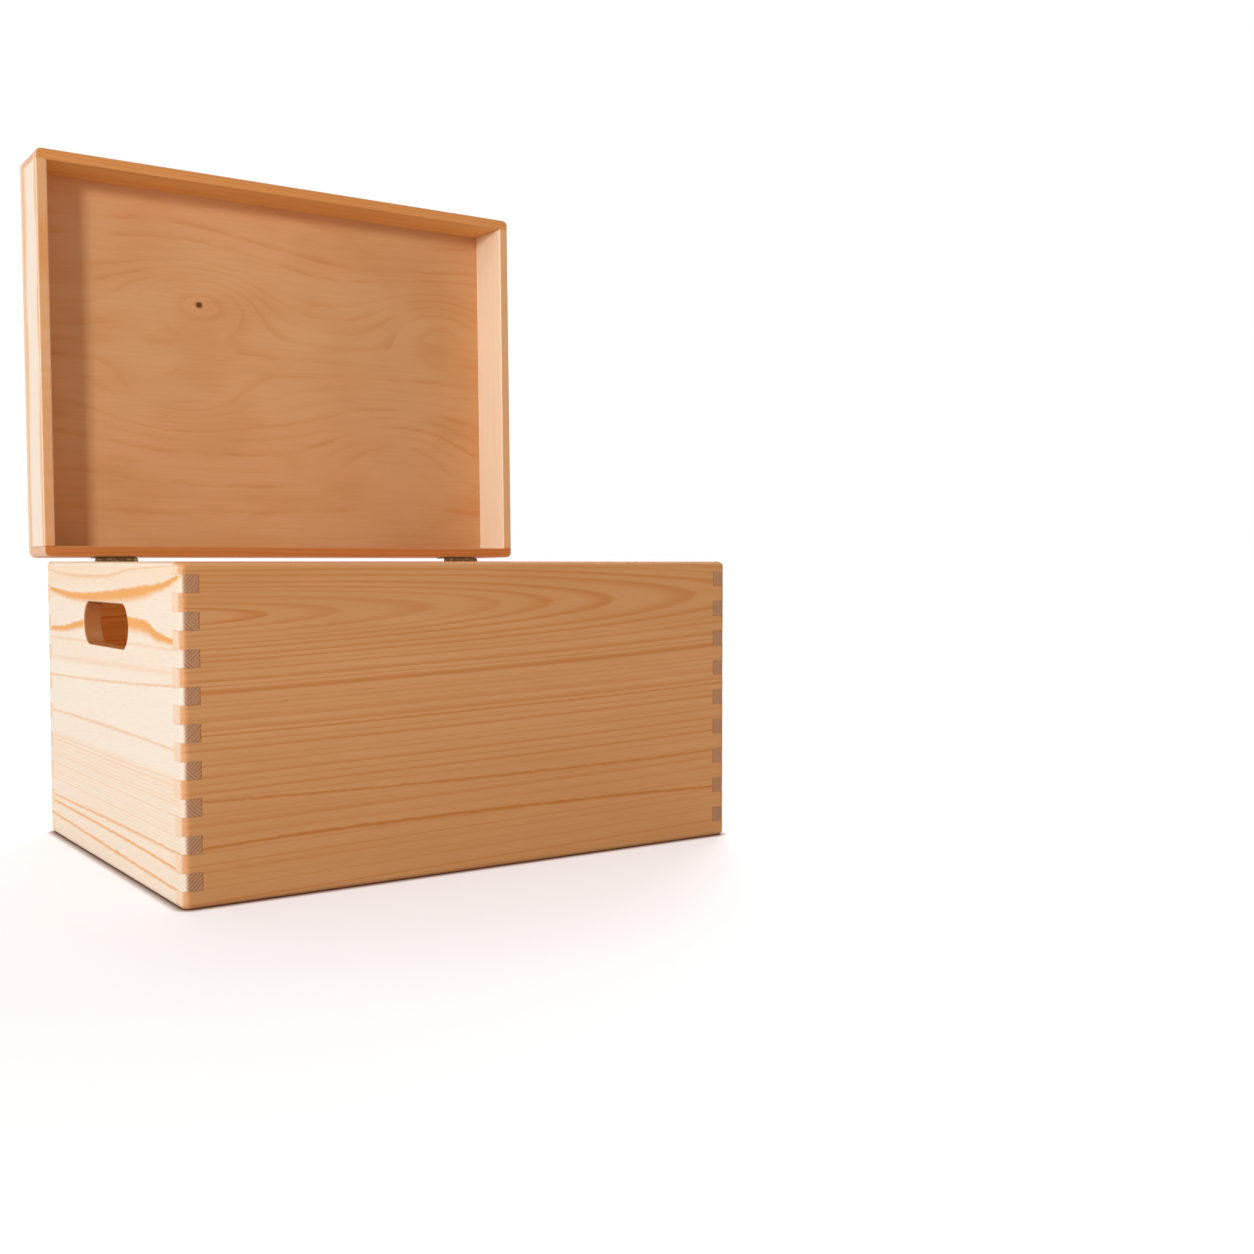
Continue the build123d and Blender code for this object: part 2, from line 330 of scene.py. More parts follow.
def end_figure(t, look, along, across, inward):
    """End grain: two runs of close slanting rings that meet on every finger."""
    finger = t.math("FLOOR", t.times(across, 1 / FINGER))
    meeting = t.random(t.times_add(finger, 1.7, look["seed"]), -9, 7)
    up = t.times_add(finger, -FINGER, t.minus(across, FINGER / 2))
    deep = t.minus(inward, END_MIDDLE)
    falling = t.math("ADD", deep, up)
    rising = t.minus(deep, up)
    bend = t.times_add(t.times(deep, up), 0.03, falling)
    on_rising = t.math("GREATER_THAN", bend, meeting)
    at = t.times_add(on_rising, t.minus(rising, bend), bend)
    pores = t.noise(t.place(along, (across, 2.6), (inward, 2.6)), 3.0)
    count = t.times_add(pores, 0.35, t.times(at, 1 / END_RING_GAP))
    rings = t.pulse(t.math("FRACT", count), 0.2, 0.85, 0.9)
    bold = t.random(t.times_add(finger, 0.37, t.math("FLOOR", count)), 0.5)
    return t.times(t.times(rings, bold), t.level(pores, 0.7, 1.1))


def late_wood(t, look, along, across, inward):
    """Strength of the dark late wood, 0 to 1: the lines of the rings, and the broad bands."""
    seed = look["seed"]
    radius = ring_field(t, look, along, across, inward)
    slow = {"W": t.times_add(radius, 1 / 9, seed), "Scale": 1.0, "Detail": 1.0}
    uneven = t.node("TexNoise", slow, noise_dimensions="1D")
    grown = t.math("POWER", t.times(radius, 1 / look["ring_gap"]), look["tighten"])
    count = t.times_add(uneven, 1.6, grown)
    bold = t.random(t.math("ADD", t.math("FLOOR", count), seed), 0.25)
    lines = t.times(t.pulse(t.math("FRACT", count), 0.38, 0.84, 0.86), bold)
    late = t.times(lines, t.curve(across, look["lines"], 0.0, 1.0))
    for number, (strength, places) in enumerate(look["bands"]):
        late = t.math("MAXIMUM", late, late_band(t, along, across, strength, places, seed + number))
    return late


def on_cut_wall(t, cut, along, across, by_inward):
    """1 on the wall of the handle cut-out."""
    low, high = cut
    off_middle = t.math("ABSOLUTE", t.minus(across, (low + high) / 2))
    in_cut = t.fall(off_middle, (high - low) / 2 + 1, (high - low) / 2 + 2)
    in_cut = t.times(in_cut, t.fall(t.math("ABSOLUTE", along), *CUT_FADE))
    return t.times(in_cut, t.fall(by_inward, 0.35, 0.85))


def pine(node, **changes):
    """Dress a board in sanded pine with growth rings, fibres, end grain and rubbed round-overs, and the
    looks' painted light and shade.
    """
    look = {**PINE, **changes}
    board = boards[node]
    t = Finish(node.rsplit("_", 1)[0] + "_pine")
    along, across, inward = board_coordinates(t, board)
    seed = look["seed"]
    late = late_wood(t, look, along, across, inward)

    # Fibres, slow changes of tone, and faint flecks along the grain.
    fibre = t.noise(t.place((along, 1 / 16, seed), (across, 1.5), (inward, 1.5)), 3.0, 0.6)
    broad = t.noise(t.place((along, 1 / 120, seed + 4.0), (across, 1 / 14), (inward, 1 / 14)))
    warmth = t.curve(across, look["warmth"], 0.0, 1.0)
    tone = t.times_add(broad, 0.9, t.minus(warmth, 0.45))
    colour = t.mix(tone, look["early"], look["warm"])
    colour = t.mix(late, colour, look["late"])
    colour = t.tint(colour, 1.0, t.level(fibre, 0.96, 1.035))
    flecks = t.noise(t.place((along, 1 / 5), across, inward))
    colour = t.mix(t.smooth(flecks, 0.70, 0.80, 0.0, 0.35), colour, look["late"])

    by_along, by_across, by_inward = [facing(t, axis) for axis in board[1:]]
    ends = end_figure(t, look, along, across, inward)
    end_colour = t.mix(ends, look["end_early"], look["end_late"])
    colour = t.mix(t.smooth(by_along, 0.72, 0.96), colour, end_colour)

    # The rim and the inner face get tints of their own, which carry the looks' painted light and shade;
    # round-overs are rubbed, a worn colour that also carries painted light.
    on_rim = t.smooth(by_across, 0.6, 0.95)
    colour = t.tint(colour, on_rim, look["rim"])
    # Painted light and shade on the inner face, by the inner tint.
    inside = t.smooth(inward, look["thickness"] - 1.0, look["thickness"] - 0.4)
    colour = t.tint(colour, inside, look["inner"])
    flat = t.math("MAXIMUM", t.math("MAXIMUM", by_inward, by_across), by_along)
    # Round-overs: the edge colour is partly wear and partly painted light.
    rubbed = t.fall(flat, 0.80, 0.99)
    colour = t.mix(t.times(rubbed, 0.5), colour, look["edge"])
    on_end = t.smooth(by_along, 0.1, 0.5, 0.0, 0.45)
    colour = t.tint(colour, t.times(ends, on_end), (0.90, 0.74, 0.60))
    if look["cut"]:
        # Painted shade in the handle cut-out: its wall takes one dark colour, over the darker cut surface.
        wall = on_cut_wall(t, look["cut"], along, across, by_inward)
        colour = t.mix(wall, colour, look["cut_wall_painted_shade"])

    rough = t.level(fibre, look["roughness"] + 0.05, look["roughness"] - 0.05)
    gloss = t.times(t.times_add(rubbed, 0.40, WOOD_SPECULAR), t.linear(on_rim, 0, 1, 1.0, 0.3))
    t.shade(colour, t.times_add(rubbed, -0.20, rough), gloss)
    t.bump(t.times_add(late, 0.6, fibre), 0.00012, 0.6)
    dress(node, t.material)


# --- Birch plywood ---
BIRCH = dict(
    seed=0.0,
    face=(0.89, 0.685, 0.50),
    line=(0.86, 0.55, 0.31),
    pale_ply=(0.93, 0.68, 0.47),
    dark_ply=(0.87, 0.52, 0.28),
    line_gap=8.0,
    fade=0.6,  # strength of the lines where they are faintest
    sharp=0.62,  # where in its spacing a line begins
    wander=20.0,  # how far the lines stray slowly
    jitter=2.4,  # and finely
    swells=(),  # (along, across, reach along, reach across, amount): loops of the figure
    knot=None,  # (along, across, radius)
    drift=None,  # painted shade: the tone darkens between two places along the grain
    core=4.0,  # how deep the outer face's figure reaches
    ply=1.6,  # thickness of a layer
    roughness=0.48,
)


def birch_figure(t, look, along, across):
    """Contour lines of rotary-cut veneer, 0 to 1."""
    seed = look["seed"]
    slow = t.place((along, 1 / 260, seed), (across, 1 / 110))
    height = t.times_add(t.noise(slow, 1.5, 0.4), look["wander"] * 4, across)
    jitter = t.place((along, 1 / 13, seed), (across, 1 / 6))
    height = t.times_add(t.noise(jitter, 3.0, 0.6), look["jitter"], height)
    for swell in look["swells"]:
        height = t.times_add(gaussian(t, along, across, swell[:4]), swell[4], height)
    count = t.times(height, 1 / look["line_gap"])
    bold = t.random(t.math("ADD", t.math("FLOOR", count), seed), 0.15)
    line = t.pulse(t.math("FRACT", count), look["sharp"], 0.93, 0.94)
    fade = t.place((along, 1 / 45, seed), (across, 1 / 30), 5.0)
    bold = t.times(bold, t.smooth(t.noise(fade, 1.0), 0.35, 0.62, look["fade"]))
    return t.times(line, bold)


def veneer(t, look, along, across):
    """Colour of one face, with its knot and its painted shade if it has them."""
    colour = t.mix(birch_figure(t, look, along, across), look["face"], look["line"])
    # Painted shade, darker towards the far place.
    if look["drift"]:
        colour = t.tint(colour, t.smooth(along, *look["drift"]), (0.84, 0.82, 0.80))
    if look["knot"]:
        at_along, at_across, radius = look["knot"]
        heart = gaussian(t, along, across, (at_along, at_across, 1.1 * radius, radius))
        halo = gaussian(t, along, across, (at_along, at_across, 9 * radius, 7 * radius))
        colour = t.tint(colour, t.times(halo, 0.35), (1.05, 0.98, 0.94))
        colour = t.tint(colour, t.smooth(heart, 0.25, 0.8), (0.22, 0.10, 0.06))
    return colour


def birch(node, inner=None, **changes):
    """Dress a board in birch plywood: veneer on both faces, layers on its edges; the outer face is pale,
    and inner can give the inner face painted shade.
    """
    look = {**BIRCH, **changes}
    board = boards[node]
    t = Finish(node.split("_")[0] + "_birch")
    along, across, inward = board_coordinates(t, board)
    outer = veneer(t, look, along, across)
    inner = veneer(t, {**look, **(inner or {})}, along, across)
    colour = t.mix(t.math("GREATER_THAN", inward, look["core"]), outer, inner)

    # Pores: short dark dashes with the grain.
    dashes = t.noise(t.place((along, 1 / 3.2), (across, 2.6), (inward, 0.2)), 1.0)
    pores = t.smooth(dashes, 0.66, 0.78)
    colour = t.tint(colour, t.times(pores, 0.3), (0.90, 0.74, 0.60))
    silk = t.noise(t.place((along, 1 / 40), (across, 0.5)), 3.0, 0.6)
    colour = t.tint(colour, 1.0, t.level(silk, 0.97, 1.03))
    cloud = t.noise(t.place((along, 1 / 90), (across, 1 / 45), look["seed"]))
    colour = t.tint(colour, t.smooth(cloud, 0.40, 0.68, 0.0, 0.7), (0.94, 0.86, 0.76))

    # Plies on the edges, cut in waves.
    waves = t.noise(t.place((along, 1 / 22), (across, 1 / 22)))
    depth = t.times_add(waves, 1.6, inward)
    layer = t.math("FRACT", t.times(depth, 0.5 / look["ply"]))
    dark = t.pulse(layer, 0.42, 0.52, 0.92)
    fibres = t.noise(t.place((along, 0.5), (across, 0.5), inward), 3.0)
    dark = t.times(dark, t.level(fibres, 0.5, 1.0))
    ply_colour = t.mix(dark, look["pale_ply"], look["dark_ply"])
    colour = t.mix(t.fall(facing(t, board.inward), 0.45, 0.8), colour, ply_colour)

    rough = t.level(silk, look["roughness"] + 0.04, look["roughness"] - 0.04)
    t.shade(colour, rough, WOOD_SPECULAR)
    t.bump(t.minus(silk, t.times(pores, 0.6)), 0.0001, 0.5)
    dress(node, t.material)


# --- Metal ---
def bronze(node, dark, bright, roughness):
    """Dress a node in antique bronze: a dark patina, rubbed through in places."""
    t = Finish(f"{node}_bronze")
    at = t.vector("MULTIPLY", t.node("TexCoord", {}, "Object"), (1 / MM, 1 / MM, 1 / MM))
    patina = t.noise(t.vector("MULTIPLY", at, (0.35, 0.35, 0.35)), 4.0, 0.6)
    scratches = t.noise(t.vector("MULTIPLY", at, (0.4, 3.0, 3.0)), 2.0, 0.6)
    rub = t.times(t.smooth(patina, 0.45, 0.72), t.level(scratches, 0.4, 1.0))
    t.shade(t.mix(rub, dark, bright), t.level(patina, roughness + 0.1, roughness - 0.1), None)
    t.bsdf.inputs["Metallic"].default_value = 1.0
    t.bump(t.times_add(scratches, 0.4, patina), 0.00006, 0.5)
    dress(node, t.material)


# --- Finishes of the wood ---
# The photograph's front is in shade and its left side in light; the boards carry part of that.
# Side pine with painted shade: its end grain, which shows on the shaded front, is dark, and its inner tint
# paints shade inside the box.
SIDE_PINE_WITH_PAINTED_SHADE = dict(
    end_early=(0.58, 0.315, 0.175), end_late=(0.38, 0.17, 0.082), edge=(0.95, 0.80, 0.66),
    inner=(1.0, 0.72, 0.34), cut=(145.0, 173.0),
)
# Pine with painted shade: darker, more saturated faces. Its end grain, which shows on the lit side, is
# lightened with painted light, and its inner and rim tints also paint light and shade.
PINE_WITH_PAINTED_SHADE = dict(
    early=(0.79, 0.40, 0.172), warm=(0.71, 0.32, 0.112), late=(0.63, 0.20, 0.032),
    end_early=(0.94, 0.74, 0.57), end_late=(0.89, 0.60, 0.40), edge=(0.84, 0.42, 0.18),
    rim=(1.0, 0.72, 0.42), inner=(1.15, 1.08, 0.66),
)
# Lid rails: pale pine; the inner tint is painted light on their inner faces.
RAIL = dict(
    early=(0.94, 0.82, 0.71), warm=(0.93, 0.76, 0.61), late=(0.90, 0.62, 0.38), thickness=8.0,
    lines=((0, 0.12), (42, 0.12)), rim=(0.98, 0.66, 0.40), inner=(1.07, 1.05, 0.93),
)
RAIL_BANDS = (
    (0.9, ((-150, 1, 5), (-115, 2, 10), (-80, 0, 5), (-30, 2, 9), (10, 1, 4), (60, 2, 10),
           (150, 1, 6))),
    (0.9, ((-150, 39, 14), (-100, 38, 18), (-50, 40, 12), (0, 38, 17), (70, 40, 11),
           (150, 39, 15))),
)
LEFT_BANDS = (
    (1.0, ((-150, 191.5, 3.6), (-110, 184, 7), (-60, 179.5, 11), (0, 176.5, 10), (60, 175.5, 8),
           (100, 177, 6.5), (150, 181.5, 4.5))),
    (0.45, ((-150, 198, 1), (-60, 195, 2), (0, 190.5, 3), (60, 190, 3.5), (110, 192, 2.5),
            (150, 195, 2))),
    (1.0, ((-150, 153, 3.4), (-110, 155.5, 8), (-75, 160.5, 11.5), (0, 160, 10), (60, 156.5, 7.5),
           (110, 152, 5.5), (150, 151, 4))),
    (0.30, ((-150, 149, 1.5), (-60, 149, 3), (0, 147, 3), (150, 145, 2))),
    (0.50, ((-150, 129, 2), (0, 122, 2.3), (150, 117.5, 2))),
    (0.18, ((-150, 136, 3), (0, 133, 5), (150, 130, 4))),
    (0.45, ((-150, 91, 2.2), (0, 92.5, 2.8), (150, 91.5, 2.2))),
    (0.72, ((-150, 32, 2.2), (-40, 31.5, 2.5), (150, 29, 2.2))),
    (0.82, ((-150, 21.8, 2.8), (-30, 24, 2.9), (150, 24.8, 2.6))),
    (0.78, ((-150, 9.8, 2.8), (0, 12.5, 3.1), (150, 15.5, 2.8))),
)
pine(
    "left_side_panel", pith=(169, 60), seed=3.0, wobble=1.5, ring_gap=2.1,
    lines=((0, 0.12), (36, 0.18), (42, 0.42), (70, 0.45), (76, 0.38), (80, 0.05), (200, 0.05)),
    warmth=((0, 0.42), (40, 0.4), (74, 0.55), (78, 0.12), (125, 0.05), (140, 0.42), (150, 0.3), (175, 0.35),
            (188, 0.9), (200, 1.0)),
    bands=LEFT_BANDS, **SIDE_PINE_WITH_PAINTED_SHADE,
)
pine(
    "right_side_panel", pith=(40, 50), seed=11.0, ring_gap=1.1, tighten=0.75,
    lines=((0, 0.7), (70, 0.55), (110, 0.3), (200, 0.6)),
    bands=(
        (0.65, ((-150, 171, 3), (-60, 177, 6), (0, 183, 5), (150, 181, 4))),
        (0.60, ((-150, 128, 2.5), (0, 133, 4), (150, 129, 2.5))),
    ), **SIDE_PINE_WITH_PAINTED_SHADE,
)
pine(
    "front_panel", pith=(172.5, 14.5), tilt=(0.02, 0.055), seed=21.0, wobble=1.0,
    ring_gap=0.95, tighten=0.72,
    lines=((0, 0.6), (60, 0.45), (90, 0.7), (155, 0.7), (180, 0.75), (200, 0.6)),
    warmth=((0, 0.5), (60, 0.55), (115, 0.35), (160, 0.55), (200, 0.8)),
    bands=(
        (0.85, ((-200, 33.5, 2.5), (0, 38, 3), (200, 36, 2.5))),
        (0.70, ((-200, 62, 2), (0, 60, 2.4), (200, 64, 2))),
    ), **PINE_WITH_PAINTED_SHADE,
)
pine(
    "back_panel", pith=(90, 40), tilt=(0.03, -0.03), seed=31.0, ring_gap=1.0,
    tighten=0.75, **PINE_WITH_PAINTED_SHADE,
)
for number, rail in enumerate(("front", "rear", "left", "right")):
    look = RAIL
    # The front and rear rails take the pine with painted shade, with painted shade on their inner faces.
    if rail in ("front", "rear"):
        look = dict(
            PINE_WITH_PAINTED_SHADE, thickness=RAIL["thickness"], inner=(0.90, 0.78, 0.62), rim=(0.95, 0.74, 0.52),
            lines=((0, 0.5), (42, 0.5)), end_early=(0.84, 0.55, 0.39), end_late=(0.72, 0.42, 0.27),
        )
    # The front rail's inner face is lightened again with painted light.
    if rail == "front":
        look.update(inner=(1.16, 1.32, 1.09), rim=(1.13, 1.0, 0.80))
    if rail == "left":
        look = dict(RAIL, bands=RAIL_BANDS, late=(0.86, 0.50, 0.24), rim=(1.02, 0.76, 0.54))
    pine(f"lid_{rail}_rail", pith=(15 + 5 * number, 40), seed=41.0 + 7 * number, **look)
birch(
    "lid_top_panel", seed=2.0,
    swells=((70, 20, 110, 34, 30), (-150, -40, 90, 40, -20)),
    # The inner face is painted shade: darker and more saturated than the outer face, and drift darkens it
    # further along the grain.
    inner=dict(
        face=(0.86, 0.465, 0.215), line=(0.81, 0.385, 0.15), seed=9.0, wander=13.0, line_gap=13.0,
        sharp=0.50, jitter=5.0,
        swells=(
            (-62, -61, 55, 26, 60), (-85, 20, 60, 24, -50), (150, -60, 60, 30, 45), (110, 60, 70, 40, 40),
        ),
        knot=(-66.3, -55.1, 3.1), drift=(-40, 190), fade=0.1,
    ),
)
birch("bottom_panel", seed=14.0)
for node in nodes:
    if "screws" in node:
        bronze(node, (0.22, 0.13, 0.06), (0.55, 0.36, 0.18), 0.38)
    elif "hinge" in node:
        bronze(node, (0.12, 0.065, 0.03), (0.42, 0.25, 0.11), 0.42)


# --- Print on the lid ---
# A border of garden flowers under a scrolled heart, drawn in millimetres on the top face: x to the
# right, y from the middle towards the hinges. Every stroke is a thin closed slab of ink.
ROUND_OVER = 3.2  # kept clear round the face
FACE_EDGE_X = HALF_LENGTH / MM - ROUND_OVER
FACE_EDGE_Y = LID_HALF_DEPTH / MM - ROUND_OVER
GROUND = -FACE_EDGE_Y
INK_SINK = 0.03  # how far every shape reaches into the wood
LAYER = 0.004  # between two shapes that lie on each other
CELL = 0.6  # grid on which the layers are counted
SPOT = 0.45  # step at which a shape is laid out on that grid
DISC_SIDES = 18


def polar(length, angle):
    """Point at a length and an angle in degrees, 0 pointing up the lid and turning right."""
    return Vector((length * math.sin(math.radians(angle)), length * math.cos(math.radians(angle))))


def smooth_line(points, count):
    """Catmull-Rom line through points."""
    points = [Vector(point) for point in points]
    points = [2 * points[0] - points[1], *points, 2 * points[-1] - points[-2]]
    line = []
    for n in range(count):
        at = n / (count - 1) * (len(points) - 3)
        k = min(int(at), len(points) - 4)
        f = at - k
        a, b, c, d = points[k : k + 4]
        bend = (2 * a - 5 * b + 4 * c - d) * f**2 + (3 * b - a - 3 * c + d) * f**3
        line.append(0.5 * (2 * b + (c - a) * f + bend))
    return line


def point_along(line, share):
    """The point of a line nearest to a share of it, 0 to 1."""
    return line[int(share * (len(line) - 1) + 0.5)]


def petal_outline(v, belly, tip):
    """Half width of a petal at v from its base, as a share of the widest."""
    if v < belly:
        return math.sin(math.pi / 2 * (0.06 + 0.94 * v / belly)) ** 0.8
    beyond = (v - belly) / (1 - belly)
    return math.sqrt(max(0.0, 1 - beyond**2 * (1 - tip**2)))


def on_face(point):
    x, y = point
    return max(-FACE_EDGE_X, min(FACE_EDGE_X, x)), max(-FACE_EDGE_Y, min(FACE_EDGE_Y, y))


def grid_spots(grid):
    """Cells of the lid that a grid of points covers."""
    cells = set()
    for low, high in zip(grid, grid[1:]):
        for (ax, ay), (bx, by), (cx, cy), (dx, dy) in zip(low, low[1:], high, high[1:]):
            across = 1 + int(max(math.hypot(bx - ax, by - ay), math.hypot(dx - cx, dy - cy)) / SPOT)
            up = 1 + int(max(math.hypot(cx - ax, cy - ay), math.hypot(dx - bx, dy - by)) / SPOT)
            for i in range(across + 1):
                u = i / across
                lx, ly = ax + (bx - ax) * u, ay + (by - ay) * u
                hx, hy = cx + (dx - cx) * u, cy + (dy - cy) * u
                for j in range(up + 1):
                    v = j / up
                    cells.add((round((lx + (hx - lx) * v) / CELL), round((ly + (hy - ly) * v) / CELL)))
    return cells


def shape_faces(grid):
    """A shape's points, the place of each in it, its faces and the numbers round its rim."""
    rows, columns = len(grid), len(grid[0])
    places = [(c / (columns - 1), r / (rows - 1)) for r in range(rows) for c in range(columns)]
    if grid[0][0] == grid[0][1]:  # a disc, which closes on itself round its middle
        rim = range(1, columns)
        faces = [(0, n, n % DISC_SIDES + 1) for n in rim]
        return [grid[0][0], *grid[1][:-1]], [(0.5, 0.0), *places[columns:-1]], faces, [*rim]
    last, edge = (rows - 1) * columns, columns - 1
    starts = [q for q in range(last) if (q + 1) % columns]
    faces = [(q, q + 1, q + columns + 1, q + columns) for q in starts]
    rim = [*range(edge), *range(edge, last + edge, columns)]
    rim += [*range(last + edge, last, -1), *range(last, 0, -columns)]
    return [point for row in grid for point in row], places, faces, rim


class Print:
    """Flat shapes of several inks, each laid on those before it and gathered into one mesh."""

    layers = {}  # how many shapes lie on each cell of the lid

    def __init__(self, name, inks):
        self.name = name
        self.inks = inks
        self.shapes = []

    def patch(self, ink, grid):
        self.shapes.append((ink, [[on_face(point) for point in row] for row in grid]))

    def disc(self, ink, centre, radius, squash=1.0, turn=0.0, wobble=0.0):
        """A round or oval dot: its middle and a ring round it."""
        along = polar(1, turn)
        side = Vector((along.y, -along.x))
        ring = []
        for n in range(DISC_SIDES + 1):
            angle = 360 * (n % DISC_SIDES) / DISC_SIDES
            x, y = polar(radius * (1 + wobble * math.sin(math.radians(5 * angle))), angle)
            ring.append(Vector(centre) + x * side + y * squash * along)
        self.patch(ink, [[Vector(centre)] * len(ring), ring])

    def petal(self, ink, base, angle, length, width, belly=0.6, tip=0.3, notch=0.0, ripple=0.0,
              bend=0.0, squash=1.0, lie=0.0):
        """A petal or a leaf from its base; squash flattens it along the direction lie."""
        rows = 9 if length > 12 else 6
        columns = 7 if width > 6 else 5
        along = polar(1, lie)
        grid = []
        for r in range(rows):
            v = r / (rows - 1)
            half = petal_outline(v, belly, tip)
            row = []
            for c in range(columns):
                u = 2 * c / (columns - 1) - 1
                reach = v - v**3 * (notch * math.exp(-((u / 0.3) ** 2)) + 0.1 * half * u * u)
                reach += v**2 * ripple * math.sin(7 * u + 0.05 * angle)
                forward, side = polar(1, angle + bend * v), polar(1, angle + bend * v + 90)
                point = forward * length * reach + side * half * width / 2 * u
                row.append(Vector(base) + point + (squash - 1) * point.dot(along) * along)
            grid.append(row)
        self.patch(ink, grid)

    def stroke(self, ink, points, width, count=12, profile=None):
        """A pen stroke along a smooth line, as wide as profile says from 0 to 1 along it."""
        line = smooth_line(points, count)
        grid = []
        for n, at in enumerate(line):
            ahead = line[min(n + 1, count - 1)] - line[max(n - 1, 0)]
            side = Vector((ahead.y, -ahead.x)).normalized()
            half = width / 2 * (profile(n / (count - 1)) if profile else 1.0)
            grid.append([at + side * half * u for u in (-1, 0, 1)])
        self.patch(ink, grid)
        return line

    def finish(self):
        points, faces, uvs, slots = [], [], [], []
        order = list(self.inks)
        for ink, grid in self.shapes:
            cells = grid_spots(grid)
            layer = 1 + max(self.layers.get(cell, 0) for cell in cells)
            self.layers.update(dict.fromkeys(cells, layer))
            flat, places, tops, rim = shape_faces(grid)
            first, under = len(points), len(flat)
            for height in (layer * LAYER, -INK_SINK):
                points += [LID_FACE + MM * (x * X + y * LID_Y + height * LID_Z) for x, y in flat]
            sides = [(under + a, under + b, b, a) for a, b in zip(rim, rim[1:] + rim[:1])]
            bottoms = [tuple(under + q for q in reversed(face)) for face in tops]
            for face in (*tops, *bottoms, *sides):
                faces.append([first + q for q in face])
                uvs += [value for q in face for value in places[q % under]]
                slots.append(order.index(ink))
        mesh = bpy.data.meshes.new(self.name)
        mesh.from_pydata(points, [], faces)
        mesh.uv_layers.new(name="shape").data.foreach_set("uv", uvs)
        for material in self.inks.values():
            mesh.materials.append(material)
        mesh.polygons.foreach_set("material_index", slots)
        mesh.update()
        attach(put(self.name, mesh), "lid")


def ink_material(name, base, middle, tip, vein=0.3, veins=14.0, rim=0.25):
    """Printed watercolour: a wash from base to tip, veins, a darker rim, and wood grain in it."""
    t = Finish(name)
    u, v, _ = t.node("SeparateXYZ", {0: t.node("UVMap", {}, uv_map="shape")}, None).outputs
    along, across, _ = board_coordinates(t, boards["lid_top_panel"])
    cloud = t.place((along, 0.2), (across, 0.2), 3.0)
    wash = t.times_add(t.noise(cloud, 3.0, 0.6), 0.6, t.minus(v, 0.3))
    colour = t.mix(t.smooth(wash, 0.0, 0.45), base, middle)
    colour = t.mix(t.smooth(wash, 0.45, 1.0), colour, tip)
    threads = t.place((u, veins), (v, 1.3), (along, 0.1))
    dark = t.smooth(t.noise(threads, 2.0, 0.6), 0.46, 0.66, 0.0, vein)
    edge = t.math("ABSOLUTE", t.times_add(u, 2.0, -1.0))
    dark = t.math("MAXIMUM", dark, t.smooth(edge, 0.7, 1.0, 0.0, rim))
    colour = t.mix(dark, colour, [0.4 * channel for channel in base])
    fibre = t.noise(t.place((along, 0.06), (across, 1.1)))
    colour = t.tint(colour, 1.0, t.level(fibre, 0.94, 1.06))
    t.shade(colour, t.level(fibre, 0.52, 0.44), WOOD_SPECULAR)
    t.bump(fibre, 0.00006, 0.4)
    return t.material


GREENS = dict(
    stem=((0.09, 0.14, 0.03), (0.16, 0.23, 0.05), (0.24, 0.32, 0.08)),
    leaf=((0.06, 0.14, 0.03), (0.15, 0.27, 0.05), (0.32, 0.41, 0.09)),
    young=((0.16, 0.24, 0.04), (0.32, 0.42, 0.08), (0.52, 0.56, 0.17)),
)
BLOOMS = dict(
    pink=((0.66, 0.10, 0.28), (0.80, 0.17, 0.38), (0.86, 0.38, 0.56)),
    magenta=((0.36, 0.02, 0.14), (0.62, 0.05, 0.27), (0.76, 0.17, 0.42)),
    blue=((0.42, 0.55, 0.84), (0.09, 0.20, 0.60), (0.20, 0.37, 0.74)),
    periwinkle=((0.66, 0.62, 0.85), (0.29, 0.28, 0.66), (0.47, 0.45, 0.79)),
    violet=((0.08, 0.03, 0.18), (0.19, 0.08, 0.36), (0.36, 0.21, 0.54)),
    orange=((0.72, 0.12, 0.01), (0.88, 0.27, 0.02), (0.93, 0.43, 0.06)),
    yellow=((0.84, 0.33, 0.02), (0.92, 0.54, 0.04), (0.95, 0.68, 0.13)),
    red=((0.42, 0.01, 0.01), (0.74, 0.03, 0.02), (0.85, 0.12, 0.06)),
    coral=((0.80, 0.07, 0.10), (0.87, 0.22, 0.22), (0.92, 0.44, 0.38)),
    cream=((0.88, 0.60, 0.24), (0.93, 0.80, 0.62), (0.95, 0.89, 0.78)),
    gold=((0.90, 0.55, 0.04), (0.82, 0.30, 0.01), (0.42, 0.10, 0.01)),
    ebony=((0.03, 0.01, 0.04), (0.06, 0.02, 0.06), (0.10, 0.04, 0.10)),
    sepal=GREENS["leaf"],
)
ORNAMENT = dict(crimson=((0.27, 0.003, 0.046), (0.285, 0.003, 0.048), (0.30, 0.004, 0.052)))


def inks(colours, **look):
    return {name: ink_material(f"ink_{name}", *washes, **look) for name, washes in colours.items()}


